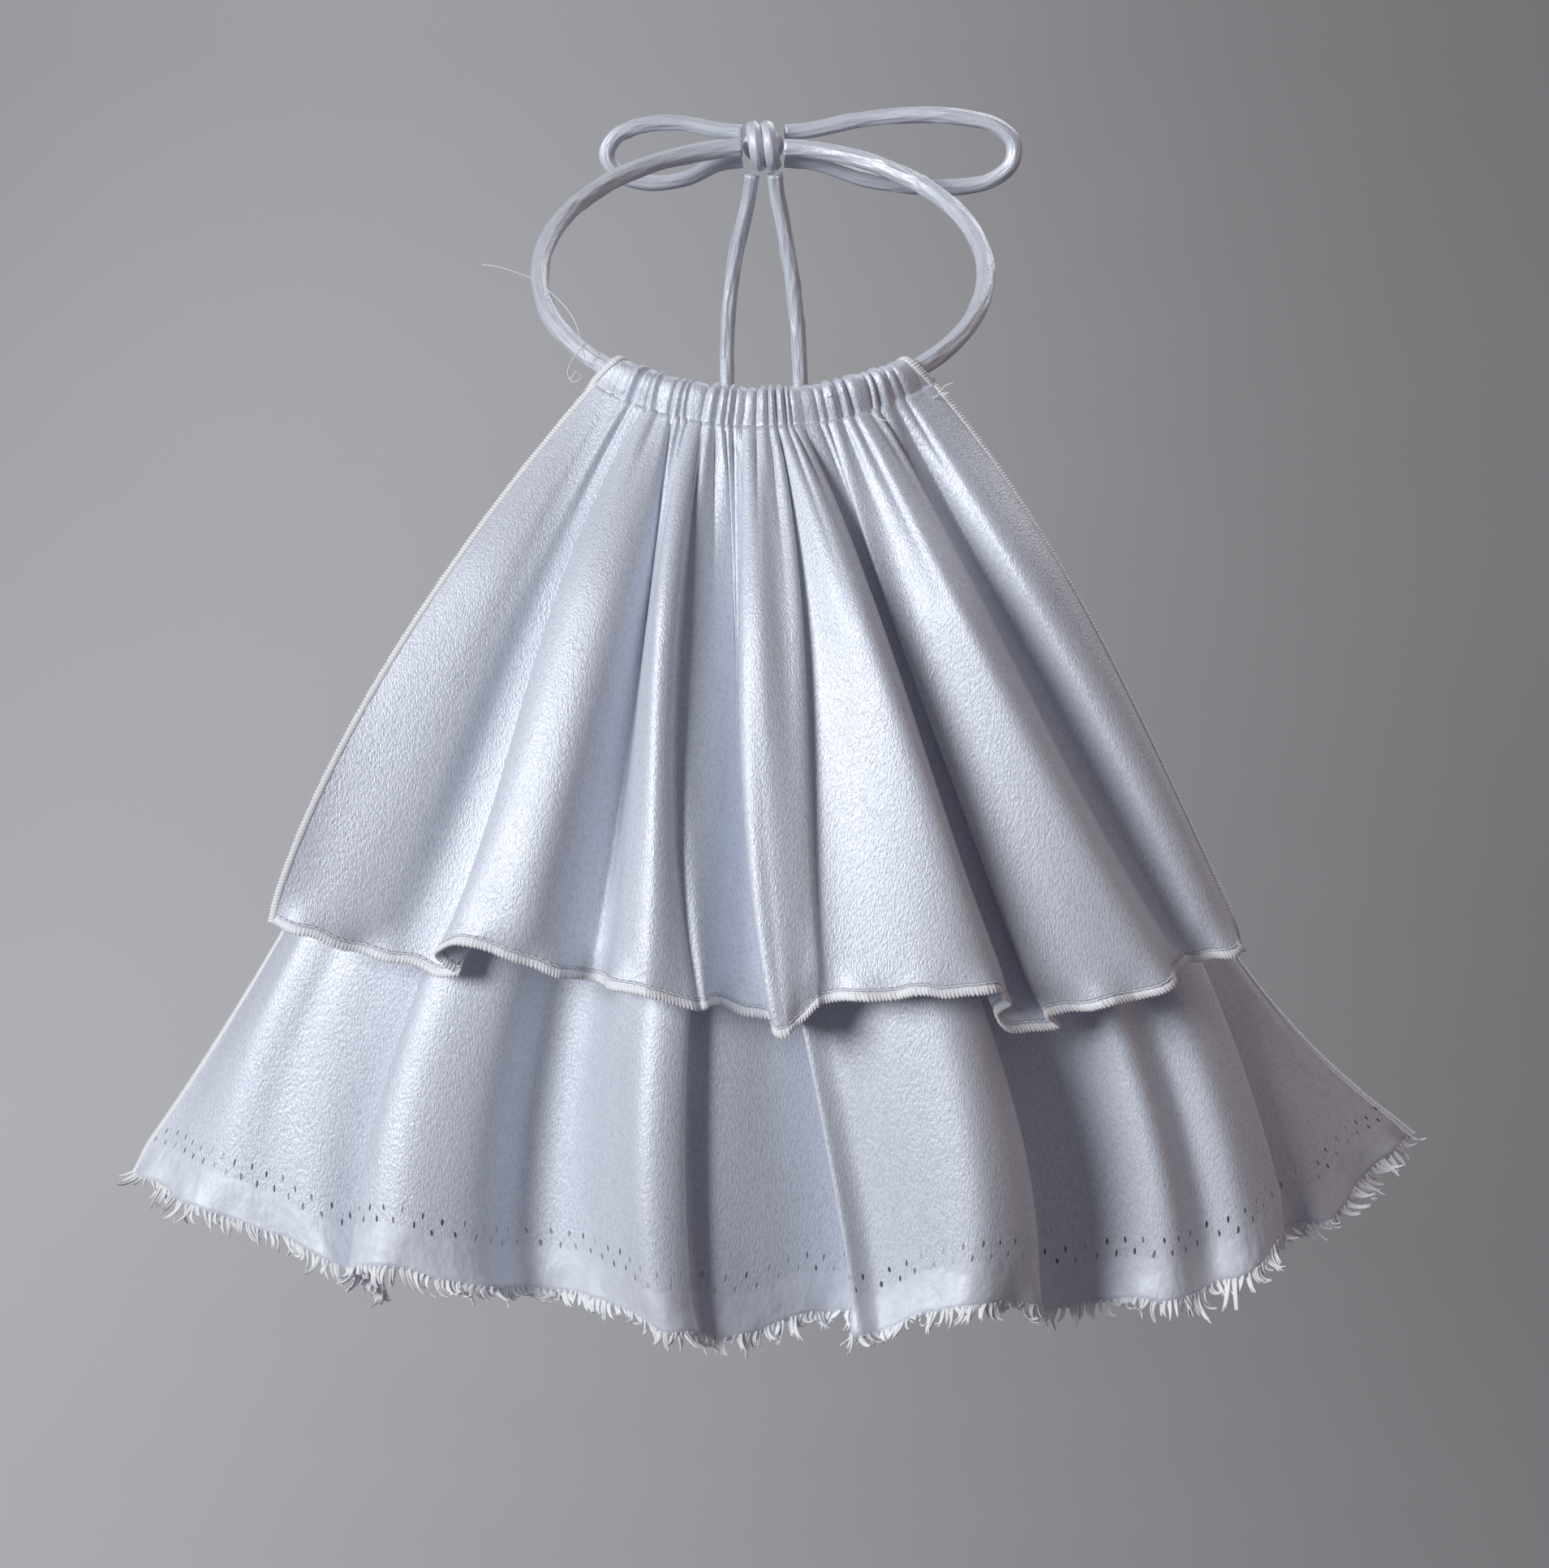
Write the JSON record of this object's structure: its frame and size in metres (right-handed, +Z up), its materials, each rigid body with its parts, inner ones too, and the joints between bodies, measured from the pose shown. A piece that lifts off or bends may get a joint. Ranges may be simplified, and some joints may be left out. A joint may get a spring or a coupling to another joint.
{
  "type": "jabot",
  "caption": "Two-tier gathered satin jabot on a round neck tie, with a frayed lower edge, tied in a bow at the nape.",
  "frame": {"origin": "middle of the neck ring, where the neck of the wearer goes through the tie", "axes": "+Z up along the neck, -Y to the wearer's front where the tiers hang, +X to the wearer's left; the ring's front lies 33 mm below the origin and its nape 33 mm above it"},
  "size_m": [0.3976, 0.2049, 0.3437],
  "materials": {
    "crepe_satin": "white crepe-backed satin with a pebbled, pearly face",
    "tie_satin": "the same satin as a round turned tube, with fine lengthwise wrinkles",
    "frayed_yarn": "matte white twisted yarn ends"
  },
  "bodies": {
    "root": {"gathered_casing": "crepe_satin", "upper_tier": "crepe_satin", "lower_tier": "crepe_satin", "frayed_hem": "frayed_yarn", "neck_tie": "tie_satin", "bow_knot": "tie_satin", "bow_loop_right": "tie_satin", "bow_loop_left": "tie_satin", "tie_end_right": "tie_satin", "tie_end_left": "tie_satin"}
  },
  "joints": []
}
